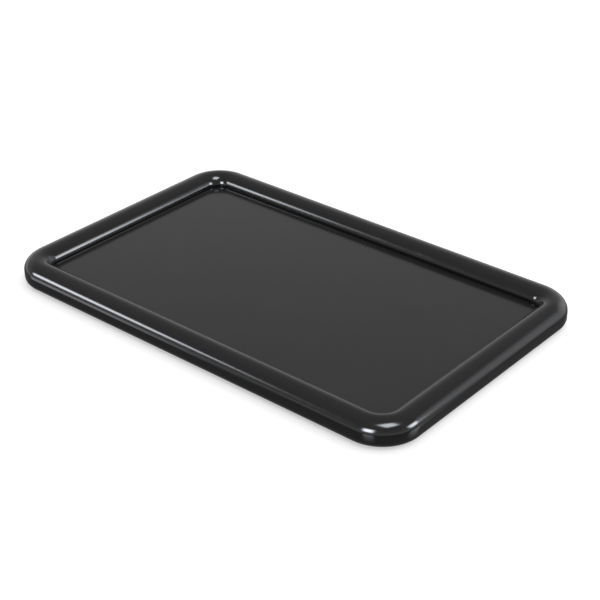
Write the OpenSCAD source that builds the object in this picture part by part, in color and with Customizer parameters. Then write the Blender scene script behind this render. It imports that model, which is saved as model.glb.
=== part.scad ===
// Chip tray: a hollow rounded bead frames a sunken gloss deck. The deck lies on a stiff board and is
// clamped up against the bead by a screwed base cover, and the whole stands on four rubber feet.
// Millimetres, +Z up, origin at the centre of the footprint on the table.

/* [Tray] */
// Overall length, along X
tray_l = 400; // [320:1:600]
// Overall width, along Y
tray_w = 257; // [210:1:400]
// Height of the bead's crest above the table
tray_h = 20.8; // [20:0.1:30]
// Outer corner radius in plan
corner_r = 34.5; // [28.5:0.5:60]

/* [Bead] */
// Width of the bead, from its outer edge to the deck
bead_w = 23.7; // [23.5:0.1:28]
// Width of the bead's outer shoulder
shoulder_w = 12.3; // [10:0.1:12.5]
// Height of the bead's outer shoulder
shoulder_h = 9.8; // [7:0.1:12]
// Radius of the inner shoulder's upper arc
inner_r = 11.9; // [11:0.1:12]
// Radius of the tighter arc that takes the inner shoulder down to the upright foot
lower_r = 5.9; // [3:0.1:6.5]
// Angle above the level at which the lower arc takes over
inner_turn = 28; // [26:1:34]
// Wall thickness of the bead moulding
wall = 2.4; // [1.8:0.1:3]
// Radius of the skirt's lower outer edge
skirt_r = 5.4; // [3:0.1:5.5]
// Width of the skirt's lower lip, which frames the base cover
lip_w = 5.6; // [5.4:0.1:6.4]
// Reach of the ledge that the base cover's edge bears on
ledge_reach = 3; // [2:0.1:3.6]
// Thickness of that ledge
ledge_t = 1.4; // [1:0.1:2]
// Thickness of the foot flange that clamps the deck
flange_t = 1.6; // [1.2:0.1:2.4]
// Thickness of the stiffening ribs inside the bead
rib_t = 1.6; // [1:0.1:3]

/* [Panels] */
// Thickness of the deck panel
deck_t = 3; // [2:0.1:4]
// Thickness of the core board
core_t = 4; // [3.2:0.1:5]
// Thickness of the base cover
cover_t = 2.5; // [2:0.1:3.2]
// How far the deck reaches under the bead
clamp_w = 6; // [4:0.1:7]
// Gap between the deck's edge and the ribs and flange inside the bead
panel_gap = 0.3; // [0.1:0.1:0.6]
// Thickness of the deck seal, compressed
seal_t = 0.5; // [0.3:0.1:1]
// How far the seal stays back from the bead's face
seal_back = 0.6; // [0.3:0.1:1.5]
// Gap round the base cover, inside the lip
cover_gap = 0.25; // [0.1:0.05:0.5]
// Depth of the recessed field under the base cover
field_depth = 0.6; // [0.3:0.1:1]
// Width of the plain border round that field
field_border = 18; // [16:0.5:24]

/* [Base screws] */
// Screws along each long side
screws_long = 4; // [2:1:6]
// Screws along each short side
screws_short = 2; // [1:1:4]
// Thread radius of a base screw
screw_r = 1.5; // [1.2:0.1:1.8]
// Head radius of a base screw
screw_head_r = 2.9; // [2.4:0.1:3.4]
// How far a base screw's head lies below the cover's face
head_sink = 0.2; // [0.1:0.1:0.4]
// Radius of a screw's driver socket
socket_r = 1.1; // [0.8:0.1:1.2]
// Depth of a screw's driver socket
socket_depth = 0.9; // [0.5:0.1:1]
// Outer radius of a threaded insert
insert_r = 2.2; // [2:0.1:2.6]
// Length of a threaded insert
insert_l = 5.5; // [3:0.5:7]
// Empty depth of a boss's hole past its insert
hole_spare = 2; // [1:0.5:3]
// Radius of a screw boss inside the bead
boss_r = 3.8; // [3.2:0.1:4.4]
// Radial play round a screw where it passes a panel
screw_play = 0.25; // [0.1:0.05:0.4]

/* [Feet] */
// How far the feet stand below the base cover
foot_stand = 0.8; // [0.6:0.1:3]
// Radius of a foot
foot_r = 9; // [7:0.5:14]
// Distance from the tray's outer edge to a foot's centre
foot_inset = 48; // [46:1:70]
// Radial play round a foot in the base cover
foot_play = 0.2; // [0.1:0.05:0.5]
// Radius of the rounded edge of a foot's sole
foot_edge = 0.5; // [0.2:0.1:0.6]
// Thickness of the rubber between the washer and the core board
foot_web = 0.8; // [0.5:0.1:1]
// Thickness of a foot's washer
washer_t = 0.6; // [0.4:0.1:0.7]
// Outer radius of a foot's washer
washer_r = 4.4; // [3.6:0.1:5.4]
// Thread radius of a foot screw
foot_screw_r = 1.4; // [1:0.1:1.6]
// Head radius of a foot screw
foot_head_r = 2.8; // [2.4:0.1:3.4]
// Head height of a foot screw
foot_head_h = 1.3; // [0.9:0.1:1.4]
// Board left uncut above a foot screw's tip
tip_cover = 0.6; // [0.4:0.1:1]

/* [Hidden] */

// Heights of the stack, from the table up
cover_z = foot_stand;
core_z = cover_z + cover_t;
deck_z = core_z + core_t;
floor_z = deck_z + deck_t;
toe_z = floor_z + seal_t;

// Section of the bead: u runs inwards from the tray's outer edge
shoulder_z = tray_h - shoulder_h;
inner_w = inner_r * cos(inner_turn) + lower_r * (1 - cos(inner_turn));
crest_in = bead_w - inner_w;
lower_z = tray_h - inner_r + (inner_r - lower_r) * sin(inner_turn);
ledge_w = lip_w + ledge_reach;
panel_inset = bead_w - clamp_w;
flange_u = panel_inset + panel_gap;
boss_u = (ledge_w + panel_inset) / 2;
mid_wall = wall / 2;
arc_steps = 14;
inner_step = 5;

// Straight runs between the corners, and the parts spaced along them
run_x = tray_l - 2 * corner_r;
run_y = tray_w - 2 * corner_r;
pitch_long = run_x / (screws_long - 0.6);
pitch_short = run_y / screws_short;
hole_r = screw_r + screw_play;
foot_x = tray_l / 2 - foot_inset;
foot_y = tray_w / 2 - foot_inset;
pilot_top = deck_z - tip_cover;
seat_z = core_z - foot_web;
washer_z = seat_z - washer_t;
pocket_r = washer_r + foot_play;
fine = 48;

function spread(count, pitch) = [for (i = [0 : count - 1]) (i - (count - 1) / 2) * pitch];
function sides_xy(along_x, along_y, inset) = concat(
    [for (s = [-1, 1], x = along_x) [x, s * (tray_w / 2 - inset)]],
    [for (s = [-1, 1], y = along_y) [s * (tray_l / 2 - inset), y]]);

screws_xy = sides_xy(spread(screws_long, pitch_long), spread(screws_short, pitch_short), boss_u);
feet_xy = [for (sx = [-1, 1], sy = [-1, 1]) [sx * foot_x, sy * foot_y]];

// Points on a quarter ellipse about (cu, cz), from angle a0 to a1
function quarter(cu, cz, ru, rz, a0, a1) =
    [for (i = [0 : arc_steps]) let (a = a0 + (a1 - a0) * i / arc_steps)
        [cu + ru * cos(a), cz + rz * sin(a)]];

// The inner shoulder: two arcs that meet at inner_turn with one shared slope
function inner_top(skin) = [for (a = [90 : -inner_step : 0])
    let (upper = a > inner_turn, r = (upper ? inner_r : lower_r) - skin,
         cu = upper ? crest_in : bead_w - lower_r, cz = upper ? tray_h - inner_r : lower_z)
    [cu + r * cos(a), cz + r * sin(a)]];

// The bead's rounded top, from the outer wall over the crest to the inner foot, set in by "skin"
function bead_top(skin) = concat(
    quarter(shoulder_w, shoulder_z, shoulder_w - skin, shoulder_h - skin, 180, 90),
    [for (p = inner_top(skin)) if (p[1] > toe_z) p]);

function reversed(list) = [for (i = [len(list) - 1 : -1 : 0]) list[i]];

// Closed section of the bead's moulding
function bead_section() = concat(
    [[lip_w, core_z], [lip_w, cover_z]],
    quarter(skirt_r, cover_z + skirt_r, skirt_r, skirt_r, 270, 180),
    bead_top(0),
    [[bead_w, toe_z], [flange_u, toe_z], [flange_u, toe_z + flange_t], [bead_w - wall, toe_z + flange_t]],
    [for (p = reversed(bead_top(wall))) if (p[1] > toe_z + flange_t || p[0] < crest_in) p],
    [[wall, core_z + ledge_t], [ledge_w, core_z + ledge_t], [ledge_w, core_z]]);

// Section of a rib, which fills the hollow down to the base cover, clear of the deck and the core
function rib_section() = concat(
    [[mid_wall + skirt_r, core_z], [mid_wall, core_z + skirt_r]],
    bead_top(mid_wall),
    [[bead_w - mid_wall, toe_z + flange_t / 2], [flange_u, toe_z + flange_t / 2],
     [panel_inset - panel_gap, toe_z], [panel_inset - panel_gap, core_z]]);

// A straight stretch along X of a section that is given in u and z, at the front side
module run(length) {
    rotate([90, 0, 90]) translate([0, 0, -length / 2]) linear_extrude(length) children();
}

// Carries a section round the whole tray, as four runs and four quarter-turn corners
module round_tray(section) {
    for (s = [0, 180]) rotate([0, 0, s]) {
        translate([0, -tray_w / 2, 0]) run(run_x) polygon(section);
        rotate([0, 0, 90]) translate([0, -tray_l / 2, 0]) run(run_y) polygon(section);
        for (c = [[run_x / 2, run_y / 2, 0], [-run_x / 2, run_y / 2, 90]])
            translate([c[0], c[1], 0]) rotate([0, 0, c[2]])
                rotate_extrude(angle = 90, $fn = 96)
                    polygon([for (p = section) [corner_r - p[0], p[1]]]);
    }
}

// A flat plate with rounded corners, its outline set in from the tray's outer edge
module plate(inset, z, thickness) {
    r = corner_r - inset;
    translate([0, 0, z]) linear_extrude(thickness) {
        square([tray_l - 2 * inset, run_y], center = true);
        square([run_x, tray_w - 2 * inset], center = true);
        for (x = [-run_x / 2, run_x / 2], y = [-run_y / 2, run_y / 2])
            translate([x, y]) circle(r, $fn = 96);
    }
}

module at(places) {
    for (p = places) translate([p[0], p[1], 0]) children();
}

module drill(z, depth, r) {
    translate([0, 0, z]) cylinder(depth, r = r, $fn = fine);
}

// The 45 degree cone that a base screw's head seats on, narrowing upwards to radius r
module countersink(r) {
    translate([0, 0, cover_z + head_sink])
        cylinder(screw_head_r - r, r1 = screw_head_r, r2 = r, $fn = fine);
}

module rim_frame() color("#1c1c1e") difference() {
    union() {
        round_tray(bead_section());
        at(screws_xy) drill(core_z, tray_h - mid_wall - core_z, boss_r);
        for (s = [0, 180]) rotate([0, 0, s]) {
            for (x = spread(screws_long - 1, pitch_long))
                translate([x, -tray_w / 2, 0]) run(rib_t) polygon(rib_section());
            rotate([0, 0, 90]) translate([0, -tray_l / 2, 0]) run(rib_t) polygon(rib_section());
        }
    }
    at(screws_xy) drill(core_z - 1, insert_l + hole_spare + 1, insert_r);
}

module deck_panel() color("#202022") plate(panel_inset, deck_z, deck_t);

module deck_seal() color("#0c0c0c") difference() {
    plate(flange_u, floor_z, seal_t);
    plate(bead_w - seal_back, floor_z - 1, seal_t + 2);
}

module core_board() color("#b58a58") difference() {
    plate(panel_inset, core_z, core_t);
    at(feet_xy) drill(core_z - 1, pilot_top - core_z + 1, foot_screw_r);
}

module base_cover() color("#18181a") difference() {
    plate(lip_w + cover_gap, cover_z, cover_t);
    plate(lip_w + cover_gap + field_border, cover_z - 1, field_depth + 1);
    at(feet_xy) drill(cover_z - 1, cover_t + 2, foot_r + foot_play);
    at(screws_xy) {
        drill(cover_z - 1, cover_t + 2, hole_r);
        drill(cover_z - 1, head_sink + 1, screw_head_r + screw_play);
        countersink(hole_r);
    }
}

// One rubber foot: a disc with a rounded sole, a pocket for the washer and a screw hole
module foot(x, y) color("#141414") translate([x, y, 0]) rotate_extrude($fn = 64)
    polygon(concat(
        [for (i = [0 : 6]) let (a = 270 + 15 * i)
            [foot_r - foot_edge + foot_edge * cos(a), foot_edge + foot_edge * sin(a)]],
        [[foot_r, core_z], [foot_screw_r + foot_play, core_z], [foot_screw_r + foot_play, seat_z],
         [pocket_r, seat_z], [pocket_r, 0]]));

module foot_front_left() foot(-foot_x, -foot_y);
module foot_front_right() foot(foot_x, -foot_y);
module foot_back_left() foot(-foot_x, foot_y);
module foot_back_right() foot(foot_x, foot_y);

module foot_washers() color("#b9bcc0") at(feet_xy) difference() {
    drill(washer_z, washer_t, washer_r);
    drill(washer_z - 1, washer_t + 2, foot_screw_r + foot_play);
}

// Screws with a low cylinder head under the washer, threaded up into the core board
module foot_screws() color("#c4c6c9") at(feet_xy) difference() {
    union() {
        drill(washer_z - foot_head_h, foot_head_h, foot_head_r);
        drill(washer_z - foot_head_h / 2, pilot_top - washer_z + foot_head_h / 2, foot_screw_r);
    }
    drill(washer_z - foot_head_h - 1, socket_depth + 1, socket_r);
}

module base_inserts() color("#c9a24a") at(screws_xy) difference() {
    drill(core_z, insert_l, insert_r);
    drill(core_z - 1, insert_l + 2, screw_r);
}

// Countersunk screws through the base cover into the inserts
module base_screws() color("#2a2a2c") at(screws_xy) difference() {
    union() {
        countersink(screw_r);
        drill(cover_z + head_sink + 0.5, insert_l + cover_t - head_sink - 0.5, screw_r);
    }
    drill(cover_z + head_sink - 1, socket_depth + 1, socket_r);
}

rim_frame();
deck_panel();
deck_seal();
core_board();
base_cover();
foot_front_left();
foot_front_right();
foot_back_left();
foot_back_right();
foot_washers();
foot_screws();
base_inserts();
base_screws();
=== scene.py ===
"""Looks of the chip tray: a hollow gloss-black bead round a sunken deck, over a screwed base on four feet.

Lengths are in metres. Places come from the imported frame; the section sizes below are the moulding's own.
"""
import math

import bpy
import numpy as np
from mathutils import Matrix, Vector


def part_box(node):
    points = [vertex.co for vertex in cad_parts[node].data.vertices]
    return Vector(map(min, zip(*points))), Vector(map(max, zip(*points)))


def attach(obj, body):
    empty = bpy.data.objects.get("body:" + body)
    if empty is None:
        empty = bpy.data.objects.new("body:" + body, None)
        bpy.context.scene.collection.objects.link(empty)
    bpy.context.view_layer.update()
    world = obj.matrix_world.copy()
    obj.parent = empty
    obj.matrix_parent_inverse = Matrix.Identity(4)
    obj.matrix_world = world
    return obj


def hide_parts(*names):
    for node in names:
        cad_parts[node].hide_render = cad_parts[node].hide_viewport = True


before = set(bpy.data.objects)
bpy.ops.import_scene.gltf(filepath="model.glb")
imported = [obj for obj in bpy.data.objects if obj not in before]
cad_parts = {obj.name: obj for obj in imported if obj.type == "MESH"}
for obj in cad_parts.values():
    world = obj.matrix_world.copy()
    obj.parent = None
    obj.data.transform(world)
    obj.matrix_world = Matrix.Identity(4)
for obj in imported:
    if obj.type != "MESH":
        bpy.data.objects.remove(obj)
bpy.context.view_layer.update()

BODY = "root"

# ---------------------------------------------------------------- the bead and what it holds
CORNER_R = 0.0345        # outer corner radius in plan
BEAD_W = 0.0237          # width of the bead, from its outer edge to the deck
SHOULDER_W = 0.0123      # width of the outer shoulder
SHOULDER_H = 0.0098      # height of the outer shoulder
INNER_R = 0.0119         # radius of the inner shoulder's upper arc
LOWER_R = 0.0059         # radius of the tighter arc that takes it down to the upright foot
INNER_TURN = 28.0        # angle above the level at which the lower arc takes over, in degrees
WALL = 0.0024            # wall thickness of the moulding
SKIRT_R = 0.0054         # radius of the skirt's lower outer edge
LIP_W = 0.0056           # width of the lip that frames the base cover
LEDGE_REACH = 0.0030     # reach of the ledge over the base cover's edge
LEDGE_T = 0.0014         # thickness of that ledge
FLANGE_T = 0.0016        # thickness of the flange that clamps the deck
RIB_T = 0.0016           # thickness of the stiffening ribs inside the bead
CLAMP_W = 0.0060         # how far the deck reaches under the bead
PANEL_GAP = 0.0003       # gap between the deck's edge and the flange
MOULDED_EDGE = 0.0003    # small rounding that every moulded edge has
SEAL_BACK = 0.0006       # how far the seal stays back from the bead's face
SEAL_SWELL = 0.6         # how far the seal's showing edge bulges, as a share of half its thickness

# ---------------------------------------------------------------- base screws and their bosses
SCREWS_LONG = 4          # base screws along each long side
SCREWS_SHORT = 2         # base screws along each short side
END_SPARE = 0.4          # what a long side's two ends leave over together, as a share of the pitch
SCREW_R = 0.0015         # shank radius
HEAD_R = 0.0029          # head radius
HEAD_BAND = 0.00025      # height of the upright band round the head
BAND_TAPER = 0.00005     # how much narrower the band is at its upper end
SOCKET_R = 0.0011        # driver socket's radius, to the flats of its hexagon
SOCKET_DEPTH = 0.0009
SOCKET_TAPER = 0.94      # width of the socket's floor, as a share of its mouth
RIM_EDGE = 0.00012       # small chamfer on the socket's and the head's rim
HEAD_CHAMFER = 0.00018   # how far the head's face stops short of its rim
TIP_CHAMFER = 0.00036    # chamfer on the shank's tip
INSERT_R = 0.0022        # radius of the hole that takes an insert
BOSS_R = 0.0038          # outer radius of a boss
BOSS_EDGE = 0.0002       # rounding of a boss's edges
HOLE_SPARE = 0.0020      # empty depth of a boss's hole past its insert
VENT_SHARE = 0.2         # radius of the vent above a boss's hole, as a share of the hole's

# ---------------------------------------------------------------- feet
SOLE_EDGE = 0.0005       # rounded edge of a foot's sole
SOLE_GROOVES = 3         # round grooves in a sole
GROOVE_DEPTH = 0.00025
GROOVE_LAND = 0.2        # level at which the grooves' wave is cut off, so that flat lands stay between them
POCKET_R = 0.0046        # pocket in a foot for its washer
POCKET_EDGE = 0.0003     # chamfer round the pocket's mouth
FOOT_TOP_EDGE = 0.0001   # chamfer round a foot's top
FOOT_HOLE_R = 0.0016
FOOT_SCREW_R = 0.0014
FOOT_HEAD_R = 0.0028
FOOT_HEAD_EDGE = 0.0001  # chamfer on a foot screw's head, next to the washer
WASHER_R = 0.0044
WASHER_EDGE = 0.00012
FEET = ("foot_front_left", "foot_front_right", "foot_back_left", "foot_back_right")

ROUND_BOSS = 32          # points round a boss
ROUND_SCREW = 48         # points round a screw or a washer
ROUND_FOOT = 96          # points round a foot

# ---------------------------------------------------------------- finishes
ROUGH_CLEAN = 0.13       # roughness of the polished plastic where it is clean
ROUGH_SMUDGED = 0.19     # roughness where hands have dulled it
SMUDGE_LIFT = 1.12       # how much paler a smudge is
RIPPLE_DEPTH = 0.000004  # depth of the moulding's faint ripple
SCUFF_TURNS = (18, -34, 71)      # directions of the rubbed hairlines, in degrees
SCUFF_STRETCH = (1, 0.012, 1)    # draws a hairline out about eighty times as long as it is wide
SCUFF_ROUGH = 0.08       # roughness that the hairlines add
SCUFF_DEPTH = 0.0000012  # depth of the hairlines
BEAD_BLACK = (0.0055, 0.0055, 0.0059)
DECK_BLACK = (0.0115, 0.0115, 0.012)
COVER_DARK, COVER_LIGHT = (0.011, 0.011, 0.012), (0.017, 0.017, 0.018)
RUBBER_CLEAN, RUBBER_DUSTY = (0.012, 0.012, 0.012), (0.0384, 0.0372, 0.0348)
# foam tones: the darker one is painted shade in each cell's hollow, the paler one is the walls between
# cells
FOAM_HOLLOW_SHADE, FOAM_CELL_WALL = (0.004, 0.004, 0.004), (0.012, 0.012, 0.012)
PLY_DARK, PLY_LIGHT = (0.34, 0.2, 0.1), (0.62, 0.44, 0.26)
PLY_WAVE = 0.0056        # size of the wave that makes the plies, which then repeat about every 1.8 mm
ZINC_DULL, ZINC_BRIGHT, ZINC_ROUGH = (0.42, 0.42, 0.4), (0.66, 0.67, 0.68), 0.28
BRASS_DULL, BRASS_BRIGHT, BRASS_ROUGH = (0.42, 0.27, 0.1), (0.78, 0.58, 0.27), 0.25
OXIDE_DULL, OXIDE_BRIGHT, OXIDE_ROUGH = (0.02, 0.02, 0.022), (0.05, 0.05, 0.055), 0.38
TARNISH_ROUGH = 0.22     # roughness that tarnish adds to a metal
TOOL_MARKS = (1, 1, 0.15)        # draws a metal's tool marks out upwards

# ---------------------------------------------------------------- studio
FLOOR_HALF = 15.0        # half the floor's side
FLOOR_SHADE = (0.62, 0.62, 0.62)
FLOOR_LIFT = 1.02        # how much paler the floor's palest patches are
FLOOR_GLOW = 0.45        # how brightly the floor glows of itself, as a lit table does
DOME = [                 # elevation in degrees and how bright the dome is there
    (-90, 0.3), (-30, 0.17), (-10, 0.22), (-3, 1.0), (3, 0.95), (9, 0.6), (25, 0.54), (32, 0.42), (40, 0.4),
    (90, 0.46),
]
CEILING_SIDE = 16.0
CEILING_RADIANCE = 1.1
CEILING_PLACE = (3.0, 6.5, 3.0)
SOFTBOX_FAR = 10.0       # distance of the softboxes
SOFTBOX_FADE = 0.6       # share of each half of a softbox over which its light fades out
SOFTBOX_TINT = (0.9, 0.94, 1.0)
DECK_SHARE = 0.15        # share of the softboxes' light that the flat deck mirrors
SOFTBOXES = [            # name, azimuth, elevation, half width and half height in degrees, radiance
    ("left_softbox", -140, 24.5, 7.8, 6.4, 16),
    ("front_softbox", -81, 24, 10.5, 12, 25),
    ("right_softbox", 27.5, 20.5, 11.5, 9.5, 17),
    ("top_softbox", -11, 72.5, 11.5, 11, 13),
    ("side_fill", 67, 20, 26, 14, 0.8),
    ("left_glow", -138, -11, 9, 8.5, 2.5),
    ("front_glow", -80, -24, 10, 10, 2.0),
    ("right_glow", 31, -24, 12, 10, 1.6),
]
VIEW_AZIMUTH = 40.0      # how far round from the front the camera stands, in degrees
VIEW_ELEVATION = 30.0
SENSOR = 36.0            # width of the camera's sensor, in millimetres
LENS = 86.24             # focal length, in millimetres
DISTANCE = 1.17958       # from the camera to the middle of the tray's base
AIM_RIGHT = 0.00893      # how far the camera is then moved to its own right
AIM_UP = -0.00244        # and how far it is moved upwards
NEAREST, FURTHEST = 0.01, 100    # the camera's clipping distances

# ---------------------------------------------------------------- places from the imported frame
rim_low, rim_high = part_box("rim_frame")
core_low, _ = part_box("core_board")
seal_low, seal_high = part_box("deck_seal")
_, insert_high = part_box("base_inserts")
base_low, base_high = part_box("base_screws")
washer_low, washer_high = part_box("foot_washers")
foot_screw_low, foot_screw_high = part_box("foot_screws")
HALF_X, HALF_Y = rim_high.x, rim_high.y
BASE_Z, CREST_Z = rim_low.z, rim_high.z
TOE_Z = seal_high.z
CORE_Z = core_low.z


# ---------------------------------------------------------------- outlines
def quarter(centre, radii, start, stop, steps=20):
    """Points on an ellipse: centre plus the two radii times cosine and sine.

    The angle goes evenly from start to stop, in degrees.
    """
    angle = np.radians(np.linspace(start, stop, steps + 1))
    return np.column_stack([centre[0] + radii[0] * np.cos(angle), centre[1] + radii[1] * np.sin(angle)])


def eased(outline, radius=MOULDED_EDGE, steps=3, gentle=20, most=0.45):
    """A closed outline with each corner cut back by the radius and bridged by a quadratic curve.

    The bridge is (1-t)^2 of the point before, 2t(1-t) of the corner and t^2 of the point after. A corner
    that turns less than gentle degrees is part of a curve and stays as it is. No cut is longer than the
    share most of its side.
    """
    corners = np.asarray(outline, float)
    back = np.roll(corners, 1, axis=0) - corners
    ahead = np.roll(corners, -1, axis=0) - corners
    len_back = np.linalg.norm(back, axis=1)
    len_ahead = np.linalg.norm(ahead, axis=1)
    turn = np.degrees(np.arccos(np.clip(-(back * ahead).sum(1) / (len_back * len_ahead), -1, 1)))
    first = corners + back * np.minimum(radius / len_back, most)[:, None]
    last = corners + ahead * np.minimum(radius / len_ahead, most)[:, None]
    t = np.linspace(0, 1, steps + 1)[:, None]
    bridges = (1 - t) ** 2 * first[:, None] + 2 * t * (1 - t) * corners[:, None] + t ** 2 * last[:, None]
    sharp = turn > gentle
    bridges[~sharp] = corners[~sharp][:, None]
    kept = sharp[:, None] | (np.arange(steps + 1) == 0)
    return bridges[kept]


def inner_top(skin, steps):
    """The inner shoulder set in by skin: centre plus radius times cosine and sine, the angle falling to 0.

    Above INNER_TURN the centre and radius are the upper arc's, and below it the lower arc's. The two slopes
    agree there.
    """
    angle = np.radians(np.linspace(90, 0, steps + 1))
    turn = math.radians(INNER_TURN)
    upper = angle > turn
    inner_w = INNER_R * math.cos(turn) + LOWER_R * (1 - math.cos(turn))
    lower_z = CREST_Z - INNER_R + (INNER_R - LOWER_R) * math.sin(turn)
    radius = np.where(upper, INNER_R, LOWER_R) - skin
    centre_u = np.where(upper, BEAD_W - inner_w, BEAD_W - LOWER_R)
    centre_z = np.where(upper, CREST_Z - INNER_R, lower_z)
    return np.column_stack([centre_u + radius * np.cos(angle), centre_z + radius * np.sin(angle)])


def bead_top(skin, steps=28):
    """The bead's top set in by skin: a quarter ellipse up the outer shoulder, then the inner shoulder."""
    centre = (SHOULDER_W, CREST_Z - SHOULDER_H)
    outer = quarter(centre, (SHOULDER_W - skin, SHOULDER_H - skin), 180, 90, steps)
    return np.vstack([outer, inner_top(skin, steps)])


def bead_section():
    """The moulding's closed section in (inset from the outer edge, height), with its edges eased."""
    flange_u = BEAD_W - CLAMP_W + PANEL_GAP
    flange_z = TOE_Z + FLANGE_T
    ledge_u = LIP_W + LEDGE_REACH
    hollow = bead_top(WALL, 12)[::-1]
    hollow = hollow[(hollow[:, 1] > flange_z) | (hollow[:, 0] < SHOULDER_W)]
    return eased(np.vstack([
        [[LIP_W, CORE_Z], [LIP_W, BASE_Z]],
        quarter((SKIRT_R, BASE_Z + SKIRT_R), (SKIRT_R, SKIRT_R), 270, 180, 14),
        bead_top(0),
        [[BEAD_W, TOE_Z], [flange_u, TOE_Z], [flange_u, flange_z], [BEAD_W - WALL, flange_z]],
        hollow,
        [[WALL, CORE_Z + LEDGE_T], [ledge_u, CORE_Z + LEDGE_T], [ledge_u, CORE_Z]],
    ]))


def rib_section():
    """A rib's outline: by the middle of the bead's walls to the base cover, clear of the deck and core."""
    skin, panel_u, flange_z = WALL / 2, BEAD_W - CLAMP_W, TOE_Z + FLANGE_T / 2
    return np.vstack([
        [[skin + SKIRT_R, CORE_Z], [skin, CORE_Z + SKIRT_R]],
        bead_top(skin, 12),
        [[BEAD_W - skin, flange_z], [panel_u + PANEL_GAP, flange_z],
         [panel_u - PANEL_GAP, TOE_Z], [panel_u - PANEL_GAP, CORE_Z]],
    ])


def seal_section():
    """The seal's closed section: a flat strip whose showing edge is squeezed out to half an ellipse."""
    near, far = HALF_X + seal_low.x, BEAD_W - SEAL_BACK
    middle, half = (seal_low.z + seal_high.z) / 2, (seal_high.z - seal_low.z) / 2
    swell = half * SEAL_SWELL
    bulge = quarter((far - swell, middle), (swell, half), -90, 90, 10)
    return np.vstack([[[near, seal_high.z], [near, seal_low.z]], bulge])[::-1]


def boss_profile():
    """A boss's closed section in (radius, height): screw hole, wall, and a top inside the bead's wall."""
    top = CREST_Z - WALL / 2
    hole_end = insert_high.z + HOLE_SPARE
    vent = INSERT_R * VENT_SHARE
    return eased([
        [INSERT_R, CORE_Z], [BOSS_R, CORE_Z], [BOSS_R, top],
        [vent, top], [vent, hole_end], [INSERT_R, hole_end],
    ], BOSS_EDGE)


def screw_profile(face, tip, head_r, shank_r, under_head):
    """A screw's points in (radius, height), and which of them are the driver socket's.

    They go from the socket's floor out over the head's face, by under_head to the shank, and up to its tip.
    """
    floor = face + SOCKET_DEPTH
    socket = [[SOCKET_R * SOCKET_TAPER, floor], [SOCKET_R, floor - RIM_EDGE],
              [SOCKET_R, face + RIM_EDGE], [SOCKET_R + RIM_EDGE, face]]
    head = [[head_r - HEAD_CHAMFER, face], [head_r, face + RIM_EDGE]]
    shank = [[shank_r, tip - TIP_CHAMFER], [shank_r - TIP_CHAMFER, tip]]
    points = np.array(socket + head + under_head + shank)
    return points, np.arange(len(points)) < len(socket)


def base_screw_profile():
    """A base screw: a short upright band round its head, then a 45 degree cone to the shank."""
    return screw_profile(base_low.z, base_high.z, HEAD_R, SCREW_R, [
        [HEAD_R - BAND_TAPER, base_low.z + HEAD_BAND], [SCREW_R, base_low.z + HEAD_R - SCREW_R]])


def foot_screw_profile():
    """A foot screw: a low cylinder head that bears flat on its washer."""
    return screw_profile(foot_screw_low.z, foot_screw_high.z, FOOT_HEAD_R, FOOT_SCREW_R, [
        [FOOT_HEAD_R, washer_low.z - FOOT_HEAD_EDGE], [FOOT_HEAD_R - FOOT_HEAD_EDGE, washer_low.z],
        [FOOT_SCREW_R, washer_low.z]])


def washer_profile():
    """A washer's closed section: a flat ring with eased edges."""
    return eased([
        [FOOT_HOLE_R, washer_low.z], [WASHER_R, washer_low.z],
        [WASHER_R, washer_high.z], [FOOT_HOLE_R, washer_high.z],
    ], WASHER_EDGE)


def foot_profile(radius, top):
    """A foot's closed section: grooved sole, rounded rim, plain wall, and the stepped pocket.

    Over the sole a cosine makes SOLE_GROOVES turns. Where it lies under GROOVE_LAND, the groove's depth is
    GROOVE_DEPTH times how far under, over the whole way from GROOVE_LAND down to -1.
    """
    sole_in, sole_out = POCKET_R + POCKET_EDGE, radius - SOLE_EDGE
    across = np.linspace(sole_in, sole_out, 49)
    turns = (across - sole_in) / (sole_out - sole_in) * SOLE_GROOVES
    wave = np.minimum(np.cos(2 * math.pi * turns), GROOVE_LAND)
    sole = np.column_stack([across, GROOVE_DEPTH * (GROOVE_LAND - wave) / (GROOVE_LAND + 1)])
    rim = quarter((radius - SOLE_EDGE, SOLE_EDGE), (SOLE_EDGE, SOLE_EDGE), 270, 360, 8)
    return np.vstack([
        [[POCKET_R, POCKET_EDGE]], sole, rim[1:],
        [[radius, top - FOOT_TOP_EDGE], [radius - FOOT_TOP_EDGE, top], [FOOT_HOLE_R, top],
         [FOOT_HOLE_R, washer_high.z], [POCKET_R, washer_high.z]],
    ])


# ---------------------------------------------------------------- surfaces
def tray_path(corner_steps=28, run_steps=10):
    """Round the tray once: points on the rectangle of corner centres, and the outward direction at each.

    In a corner the point stays and the direction turns a quarter; along a run the direction stays and the
    point moves evenly to the next corner centre.
    """
    cx, cy = HALF_X - CORNER_R, HALF_Y - CORNER_R
    centres = np.array([[cx, cy], [-cx, cy], [-cx, -cy], [cx, -cy]])
    points, outward = [], []
    for k in range(4):
        turn = np.radians(90 * k + np.linspace(0, 90, corner_steps + 1))
        points.append(np.repeat(centres[k:k + 1], corner_steps + 1, axis=0))
        outward.append(np.column_stack([np.cos(turn), np.sin(turn)]))
        share = (np.arange(1, run_steps) / run_steps)[:, None]
        points.append((1 - share) * centres[k] + share * centres[(k + 1) % 4])
        outward.append(np.repeat(outward[-1][-1:], run_steps - 1, axis=0))
    return np.vstack(points), np.vstack(outward)


def swept(section):
    """Carries a section of (inset, height) round the tray: path + (corner radius - inset) x outward."""
    points, outward = tray_path()
    reach = CORNER_R - section[:, 0]
    plan = points[:, None, :] + reach[None, :, None] * outward[:, None, :]
    height = np.broadcast_to(section[:, 1], plan.shape[:2])[..., None]
    return np.concatenate([plan, height], axis=2)


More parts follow.
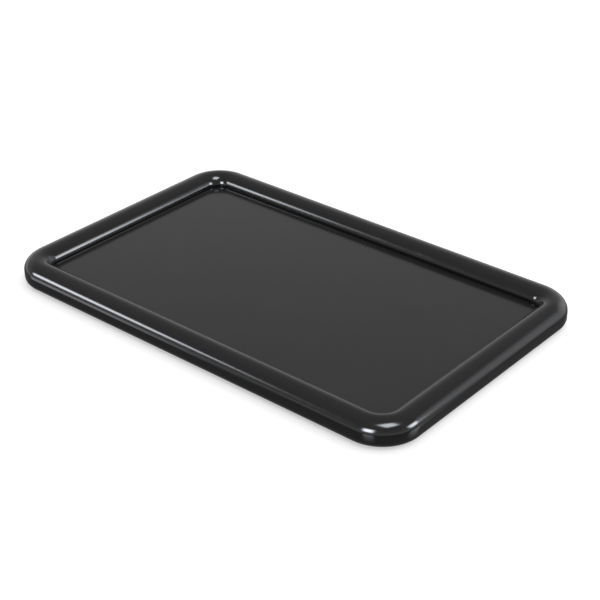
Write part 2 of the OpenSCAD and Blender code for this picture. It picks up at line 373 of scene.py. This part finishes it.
def turned(profile, count, centre=(0, 0)):
    """Turns a profile of (radius, height) upright about a centre: x and y are radius x cosine and sine."""
    angle = np.linspace(0, 2 * math.pi, count, endpoint=False)[:, None]
    radius, height = profile[:, 0][None], profile[:, 1][None]
    return np.stack([centre[0] + radius * np.cos(angle), centre[1] + radius * np.sin(angle),
                     np.broadcast_to(height, (count, len(profile)))], axis=2)


def hexagon(angle):
    """How much further than its flats a hexagon reaches: one over the cosine, from the nearest flat."""
    from_flat = (angle + math.pi / 6) % (math.pi / 3) - math.pi / 6
    return 1 / np.cos(from_flat)


def screw(profile, in_socket, centre):
    """A screw turned from its profile, with the socket's points drawn out to a hexagon."""
    grid = turned(profile, ROUND_SCREW)
    angle = np.linspace(0, 2 * math.pi, ROUND_SCREW, endpoint=False)
    factor = 1 + (hexagon(angle)[:, None] - 1) * in_socket[None, :]
    grid[..., :2] *= factor[..., None]
    grid[..., :2] += centre
    return grid


def rib(section, edge, inward):
    """A rib as a prism: edge point + inset x the inward direction, half its thickness to either side."""
    inward = np.array(inward, float)
    along = np.array([-inward[1], inward[0]]) * RIB_T / 2
    plan = (np.array(edge) + section[:, :1] * inward)[:, None, :] + np.array([[-1.0], [1.0]]) * along
    height = np.broadcast_to(section[:, 1:2], plan.shape[:2])[..., None]
    return np.concatenate([plan, height], axis=2)


def grid_faces(rows, cols, first, wrap):
    """Quads between neighbouring grid points; rows close on themselves, and columns where wrap is true."""
    r = np.arange(rows)[:, None]
    c = np.arange(cols if wrap else cols - 1)[None, :]
    r2, c2 = (r + 1) % rows, (c + 1) % cols
    quads = np.stack([r * cols + c, r2 * cols + c, r2 * cols + c2, r * cols + c2], axis=2)
    return first + quads.reshape(-1, 4)


def piece(name, grids, material, wrap=True, sharp=32.0):
    """One object from point grids. A grid closes both ways, or a face caps each of its two end columns.

    Edges that turn more than sharp degrees are shown sharp.
    """
    points, faces, first = [], [], 0
    for grid in grids:
        rows, cols = grid.shape[:2]
        points.append(grid.reshape(-1, 3))
        faces += grid_faces(rows, cols, first, wrap).tolist()
        if not wrap:
            ring = first + np.arange(rows) * cols
            faces += [ring[::-1].tolist(), (ring + cols - 1).tolist()]
        first += rows * cols
    mesh = bpy.data.meshes.new(name)
    mesh.from_pydata(np.vstack(points).tolist(), [], faces)
    mesh.shade_smooth()
    mesh.set_sharp_from_angle(angle=math.radians(sharp))
    mesh.materials.append(material)
    obj = bpy.data.objects.new(name, mesh)
    bpy.context.scene.collection.objects.link(obj)
    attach(obj, BODY)
    return obj


# ---------------------------------------------------------------- materials
class Finish:
    """A material being made: adds nodes, joins them and sets the constants on the shader itself."""

    def __init__(self, name, **constants):
        self.material = bpy.data.materials.new(name)
        self.material.use_nodes = True
        self.tree = self.material.node_tree
        self.shader = self.tree.nodes["Principled BSDF"]
        for socket, value in constants.items():
            self.shader.inputs[socket.replace("_", " ")].default_value = value
        self.place = self.node("ShaderNodeTexCoord").outputs["Object"]

    def feed(self, socket, value):
        """Gives a socket a plain value, or joins another node's output to it."""
        if isinstance(value, bpy.types.NodeSocket):
            self.tree.links.new(value, socket)
        else:
            socket.default_value = value

    def node(self, kind, settings=None, **inputs):
        """A node with its settings, and with its inputs fed by name."""
        made = self.tree.nodes.new(kind)
        for key, value in (settings or {}).items():
            setattr(made, key, value)
        for key, value in inputs.items():
            self.feed(made.inputs[key.replace("_", " ")], value)
        return made

    def noise(self, size, detail=2.0, roughness=0.5, stretch=None, turn=0.0):
        """Noise with features about size metres across; stretch scales the axes after a turn about Z."""
        place = self.place
        if stretch is not None:
            place = self.node("ShaderNodeMapping", Vector=place, Rotation=(0, 0, math.radians(turn)),
                              Scale=stretch).outputs["Vector"]
        return self.node("ShaderNodeTexNoise", Vector=place, Scale=1 / size, Detail=detail,
                         Roughness=roughness).outputs["Fac"]

    def cells(self, size, settings=None, **inputs):
        """Distance from the middle of the nearest of many cells, each about size metres across."""
        return self.node("ShaderNodeTexVoronoi", settings, Vector=self.place, Scale=1 / size,
                         **inputs).outputs["Distance"]

    def ranged(self, value, low, high, to_low=0.0, to_high=1.0):
        """Carries value from low..high to to_low..to_high, and stops at the ends."""
        made = self.node("ShaderNodeMapRange", Value=value, From_Min=low, From_Max=high, To_Min=to_low,
                         To_Max=to_high)
        return made.outputs["Result"]

    def combined(self, operation, a, b):
        """a and b put together by one operation of the Math node."""
        made = self.node("ShaderNodeMath", {"operation": operation})
        self.feed(made.inputs[0], a)
        self.feed(made.inputs[1], b)
        return made.outputs[0]

    def bump(self, height, depth, below=None):
        """A bump depth metres deep from a height of 0..1, laid over another bump where one is given."""
        made = self.node("ShaderNodeBump", Height=height, Strength=1.0, Distance=depth)
        if below is not None:
            self.feed(made.inputs["Normal"], below)
        return made.outputs["Normal"]

    def tint(self, value, dark, light):
        """A colour between dark and light by a value of 0..1.

        The Mix node has sockets of one name for each kind of value, so its colour sockets go by number.
        """
        made = self.node("ShaderNodeMix", {"data_type": "RGBA"})
        factor, first, second = made.inputs[0], made.inputs[6], made.inputs[7]
        self.feed(factor, value)
        self.feed(first, (*dark, 1))
        self.feed(second, (*light, 1))
        return made.outputs[2]

    def joins(self, **outputs):
        """Joins outputs to the shader's sockets and hands back the material."""
        for socket, output in outputs.items():
            self.feed(self.shader.inputs[socket.replace("_", " ")], output)
        return self.material


def gloss_plastic(name, base, scuffed):
    """Polished black plastic: faint moulding ripple, handling smudges, and rubbed hairlines where scuffed.

    Roughness follows broad smudges times small greasy spots. Each hairline noise is drawn out along its own
    direction, and the strongest of the three counts.
    """
    f = Finish(name, IOR=1.5)
    smudge = f.ranged(f.noise(0.045, detail=4, roughness=0.6), 0.35, 0.75)
    grease = f.ranged(f.noise(0.012, detail=3, roughness=0.55), 0.45, 0.7)
    dulled = f.combined("MULTIPLY", smudge, grease)
    rough = f.ranged(dulled, 0, 1, ROUGH_CLEAN, ROUGH_SMUDGED)
    normal = f.bump(f.noise(0.006, detail=1, roughness=0.4), RIPPLE_DEPTH)
    if scuffed:
        lines = [f.noise(0.0012, detail=2, roughness=0.6, stretch=SCUFF_STRETCH, turn=turn)
                 for turn in SCUFF_TURNS]
        strongest = f.combined("MAXIMUM", f.combined("MAXIMUM", lines[0], lines[1]), lines[2])
        rubbed = f.ranged(strongest, 0.68, 0.78)
        rough = f.combined("ADD", rough, f.combined("MULTIPLY", rubbed, SCUFF_ROUGH))
        normal = f.bump(rubbed, SCUFF_DEPTH, normal)
    colour = f.tint(smudge, base, tuple(c * SMUDGE_LIFT for c in base))
    return f.joins(Base_Color=colour, Roughness=rough, Normal=normal)


def textured_plastic(name):
    """Spark-eroded black plastic: fine grain over small pebbles, with a slightly uneven shine."""
    f = Finish(name, IOR=1.48)
    pebble = f.cells(0.0009, {"feature": "SMOOTH_F1"}, Smoothness=0.6)
    grain = f.noise(0.0004, detail=2, roughness=0.6)
    shine = f.ranged(f.noise(0.05, detail=3), 0.3, 0.7, 0.42, 0.56)
    normal = f.bump(grain, 0.00001, below=f.bump(pebble, 0.00004))
    colour = f.tint(f.noise(0.02, detail=3), COVER_DARK, COVER_LIGHT)
    return f.joins(Base_Color=colour, Roughness=shine, Normal=normal)


def rubber(name):
    """Matt black rubber: dusty in patches, with a fine skin texture."""
    f = Finish(name, IOR=1.45)
    dust = f.ranged(f.noise(0.004, detail=4, roughness=0.6), 0.45, 0.8)
    skin = f.noise(0.0005, detail=2, roughness=0.6)
    return f.joins(Base_Color=f.tint(dust, RUBBER_CLEAN, RUBBER_DUSTY),
                   Roughness=f.ranged(dust, 0, 1, 0.62, 0.85), Normal=f.bump(skin, 0.00003))


def foam(name):
    """Closed-cell foam: small round cells in a dull black, with painted shade darkening each cell's hollow.
    """
    f = Finish(name, IOR=1.4, Roughness=0.9)
    cells = f.cells(0.0005)
    # the tint darkens towards each cell's middle, where the bump is lowest: painted shade in the hollow
    return f.joins(Base_Color=f.tint(cells, FOAM_HOLLOW_SHADE, FOAM_CELL_WALL), Normal=f.bump(cells, 0.00008))


def plywood(name):
    """Birch plywood: long grain over the faces, with its plies as thin bands of height along the edges."""
    f = Finish(name, IOR=1.45)
    grain = f.noise(0.004, detail=5, roughness=0.65, stretch=(0.08, 1, 1))
    ply = f.node("ShaderNodeTexWave", {"bands_direction": "Z"}, Vector=f.place, Scale=1 / PLY_WAVE,
                 Distortion=0.4).outputs["Fac"]
    mixed = f.combined("ADD", f.combined("MULTIPLY", grain, 0.7), f.combined("MULTIPLY", ply, 0.3))
    return f.joins(Base_Color=f.tint(f.ranged(mixed, 0.25, 0.8), PLY_DARK, PLY_LIGHT),
                   Roughness=f.ranged(grain, 0.3, 0.7, 0.5, 0.7), Normal=f.bump(grain, 0.00005))


def metal(name, dull, bright, shine):
    """Turned or plated metal: fine tool marks, and small tarnish patches that are duller and rougher."""
    f = Finish(name, Metallic=1.0)
    marks = f.noise(0.0003, detail=2, roughness=0.6, stretch=TOOL_MARKS)
    tarnish = f.ranged(f.noise(0.003, detail=4, roughness=0.6), 0.4, 0.75)
    return f.joins(Base_Color=f.tint(tarnish, bright, dull),
                   Roughness=f.ranged(tarnish, 0, 1, shine, shine + TARNISH_ROUGH),
                   Normal=f.bump(marks, 0.000006))


bead_gloss = gloss_plastic("bead_gloss", BEAD_BLACK, scuffed=False)
deck_gloss = gloss_plastic("deck_gloss", DECK_BLACK, scuffed=True)
cover_texture = textured_plastic("cover_texture")
foot_rubber = rubber("foot_rubber")
seal_foam = foam("seal_foam")
core_ply = plywood("core_ply")
zinc_steel = metal("zinc_steel", ZINC_DULL, ZINC_BRIGHT, ZINC_ROUGH)
insert_brass = metal("insert_brass", BRASS_DULL, BRASS_BRIGHT, BRASS_ROUGH)
black_steel = metal("black_steel", OXIDE_DULL, OXIDE_BRIGHT, OXIDE_ROUGH)


# ---------------------------------------------------------------- where the screws, ribs and feet stand
def spread(count, pitch):
    """Places evenly a pitch apart about zero."""
    return (np.arange(count) - (count - 1) / 2) * pitch


def foot_centre(name):
    """The middle of a foot in plan, from its box in the frame."""
    low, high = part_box(name)
    return (low.x + high.x) / 2, (low.y + high.y) / 2


run_x, run_y = 2 * (HALF_X - CORNER_R), 2 * (HALF_Y - CORNER_R)
pitch_long = run_x / (SCREWS_LONG - 1 + END_SPARE)
pitch_short = run_y / SCREWS_SHORT
boss_u = (LIP_W + LEDGE_REACH + BEAD_W - CLAMP_W) / 2
screw_places = [(x, s * (HALF_Y - boss_u)) for s in (-1, 1) for x in spread(SCREWS_LONG, pitch_long)]
screw_places += [(s * (HALF_X - boss_u), y) for s in (-1, 1) for y in spread(SCREWS_SHORT, pitch_short)]
rib_places = [((x, s * HALF_Y), (0, -s)) for s in (-1, 1) for x in spread(SCREWS_LONG - 1, pitch_long)]
rib_places += [((s * HALF_X, 0), (-s, 0)) for s in (-1, 1)]
foot_places = [foot_centre(name) for name in FEET]

# ---------------------------------------------------------------- the bead, seal, bosses and ribs
bead = piece("bead", [swept(bead_section())], bead_gloss)
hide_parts("rim_frame")

seal = piece("seal_strip", [swept(seal_section())], seal_foam)
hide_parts("deck_seal")

piece("bead_bosses", [turned(boss_profile(), ROUND_BOSS, place) for place in screw_places],
      bead_gloss)
piece("bead_ribs", [rib(rib_section(), *place) for place in rib_places],
      bead_gloss, wrap=False)

# ---------------------------------------------------------------- base screws
base_screws = piece("base_screw_set", [screw(*base_screw_profile(), place) for place in screw_places],
                    black_steel, wrap=False)
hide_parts("base_screws")

# ---------------------------------------------------------------- feet
for name, place in zip(FEET, foot_places):
    low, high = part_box(name)
    profile = foot_profile((high.x - low.x) / 2, high.z)
    foot = piece(name.replace("foot", "rubber_foot"), [turned(profile, ROUND_FOOT, place)],
                 foot_rubber)
    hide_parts(name)

washers = piece("washer_set", [turned(washer_profile(), ROUND_SCREW, place) for place in foot_places],
                zinc_steel)
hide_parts("foot_washers")

foot_screws = piece("foot_screw_set", [screw(*foot_screw_profile(), place) for place in foot_places],
                    zinc_steel, wrap=False)
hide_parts("foot_screws")

# ---------------------------------------------------------------- the nodes that stay as packed
for name, material in (("deck_panel", deck_gloss), ("core_board", core_ply), ("base_cover", cover_texture),
                       ("base_inserts", insert_brass)):
    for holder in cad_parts[name].material_slots:
        holder.material = material


# ---------------------------------------------------------------- floor, light and camera
def pale_floor():
    """A wide pale floor under the feet, which glows a little of itself.

    The gloss doesn't mirror it: the dome's lower half and the low glows stand for it there.
    """
    f = Finish("pale_floor", Roughness=0.9, Specular_IOR_Level=0.1, Emission_Color=(1, 1, 1, 1),
               Emission_Strength=FLOOR_GLOW)
    patches = f.noise(0.6)
    f.joins(Base_Color=f.tint(patches, FLOOR_SHADE, tuple(c * FLOOR_LIFT for c in FLOOR_SHADE)))
    corners = [(x * FLOOR_HALF, y * FLOOR_HALF, 0) for x, y in ((-1, -1), (1, -1), (1, 1), (-1, 1))]
    mesh = bpy.data.meshes.new("floor")
    mesh.from_pydata(corners, [], [(0, 1, 2, 3)])
    mesh.materials.append(f.material)
    floor = bpy.data.objects.new("floor", mesh)
    floor.visible_glossy = False
    floor.visible_shadow = False
    bpy.context.scene.collection.objects.link(floor)


def studio_dome():
    """The surroundings: a grey dome, palest in a band at the horizon, mid grey overhead and darker below.

    A stop's place on the ramp is (sine of its elevation + 1) / 2, the height on the unit dome as 0..1.
    """
    world = bpy.data.worlds.new("studio")
    bpy.context.scene.world = world
    world.use_nodes = True
    tree = world.node_tree
    where = tree.nodes.new("ShaderNodeTexCoord")
    split = tree.nodes.new("ShaderNodeSeparateXYZ")
    height = tree.nodes.new("ShaderNodeMapRange")
    height.inputs["From Min"].default_value = -1
    ramp = tree.nodes.new("ShaderNodeValToRGB")
    stops = ramp.color_ramp.elements
    for elevation, _ in DOME[1:-1]:
        stops.new((math.sin(math.radians(elevation)) + 1) / 2)
    for stop, (_, shade) in zip(stops, DOME):
        stop.color = (shade, shade, shade, 1)
    tree.links.new(where.outputs["Generated"], split.inputs[0])
    tree.links.new(split.outputs["Z"], height.inputs["Value"])
    tree.links.new(height.outputs[0], ramp.inputs["Fac"])
    tree.links.new(ramp.outputs["Color"], tree.nodes["Background"].inputs["Color"])


def toward(azimuth, elevation):
    """The unit direction at an azimuth from +X towards +Y and an elevation above the floor, in degrees."""
    a, e = math.radians(azimuth), math.radians(elevation)
    return np.array([math.cos(a) * math.cos(e), math.sin(a) * math.cos(e), math.sin(e)])


def facing(obj, right, upward, back):
    """Turns a light or camera so that its own X, Y and Z lie along the three given directions."""
    obj.rotation_mode = "QUATERNION"
    obj.rotation_quaternion = Matrix(np.column_stack([right, upward, back]).tolist()).to_quaternion()


def soft_edge(tree, axis):
    """How bright a panel is along one axis: 1 over its middle, falling smoothly to 0 at its two edges.

    The fall takes the share SOFTBOX_FADE of each half, measured by the distance from the middle.
    """
    spot = tree.nodes.new("ShaderNodeNewGeometry")
    split = tree.nodes.new("ShaderNodeSeparateXYZ")
    off = tree.nodes.new("ShaderNodeMath")
    off.operation = "SUBTRACT"
    off.inputs[1].default_value = 0.5
    distance = tree.nodes.new("ShaderNodeMath")
    distance.operation = "ABSOLUTE"
    soft = tree.nodes.new("ShaderNodeMapRange")
    soft.interpolation_type = "SMOOTHSTEP"
    soft.inputs["From Min"].default_value = 0.5
    soft.inputs["From Max"].default_value = 0.5 * (1 - SOFTBOX_FADE)
    tree.links.new(spot.outputs["Parametric"], split.inputs[0])
    tree.links.new(split.outputs[axis], off.inputs[0])
    tree.links.new(off.outputs[0], distance.inputs[0])
    tree.links.new(distance.outputs[0], soft.inputs["Value"])
    return soft.outputs["Result"]


def softbox(name, azimuth, elevation, half_wide, half_tall, radiance, receivers):
    """A far rectangular softbox facing the tray; its half angles run to where its light has halved.

    A side is 2 x distance x the half angle's tangent, made longer for the fade, and the power is radiance x
    pi x area.
    """
    reach = SOFTBOX_FAR / (1 - SOFTBOX_FADE / 2)
    wide, tall = (2 * reach * math.tan(math.radians(half)) for half in (half_wide, half_tall))
    light = bpy.data.lights.new(name, "AREA")
    light.shape = "RECTANGLE"
    light.size, light.size_y = wide, tall
    light.energy = radiance * math.pi * wide * tall
    light.color = SOFTBOX_TINT
    light.use_nodes = True
    tree = light.node_tree
    both = tree.nodes.new("ShaderNodeMath")
    both.operation = "MULTIPLY"
    for socket, axis in zip(both.inputs, ("X", "Y")):
        tree.links.new(soft_edge(tree, axis), socket)
    tree.links.new(both.outputs[0], tree.nodes["Emission"].inputs["Strength"])
    obj = bpy.data.objects.new(name, light)
    bpy.context.scene.collection.objects.link(obj)
    direction = toward(azimuth, elevation)
    side = toward(azimuth + 90, 0)
    obj.location = direction * SOFTBOX_FAR
    obj.visible_diffuse = False
    obj.light_linking.receiver_collection = receivers
    facing(obj, side, np.cross(direction, side), direction)


def linked_to_deck(name, state):
    """A collection that tells a light to keep to the deck, or to leave it out."""
    collection = bpy.data.collections.new(name)
    collection.objects.link(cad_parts["deck_panel"])
    collection.collection_objects[0].light_linking.link_state = state
    return collection


def softboxes():
    """Each softbox at full strength for all but the deck, and a dim twin for the flat deck alone."""
    off_deck = linked_to_deck("all_but_deck", "EXCLUDE")
    on_deck = linked_to_deck("deck_only", "INCLUDE")
    for name, *aim, radiance in SOFTBOXES:
        softbox(name, *aim, radiance, off_deck)
        softbox(name + "_deck", *aim, radiance * DECK_SHARE, on_deck)


def ceiling():
    """A wide ceiling light for the floor's even tone and soft shadow, which stays out of the gloss."""
    light = bpy.data.lights.new("ceiling", "AREA")
    light.shape = "SQUARE"
    light.size = CEILING_SIDE
    light.energy = CEILING_RADIANCE * math.pi * CEILING_SIDE ** 2
    obj = bpy.data.objects.new("ceiling", light)
    obj.location = CEILING_PLACE
    obj.visible_glossy = False
    obj.visible_camera = False
    bpy.context.scene.collection.objects.link(obj)


def camera():
    """A level camera on a long lens, which looks back along the direction of its azimuth and elevation."""
    back = toward(VIEW_AZIMUTH - 90, VIEW_ELEVATION)
    right = toward(VIEW_AZIMUTH, 0)
    upward = np.cross(back, right)
    data = bpy.data.cameras.new("view")
    data.sensor_width = SENSOR
    data.lens = LENS
    data.clip_start, data.clip_end = NEAREST, FURTHEST
    obj = bpy.data.objects.new("view", data)
    bpy.context.scene.collection.objects.link(obj)
    obj.location = back * DISTANCE + right * AIM_RIGHT + upward * AIM_UP + np.array([0, 0, BASE_Z])
    facing(obj, right, upward, back)
    bpy.context.scene.camera = obj


pale_floor()
studio_dome()
softboxes()
ceiling()
camera()
bpy.context.scene.view_settings.view_transform = "Standard"
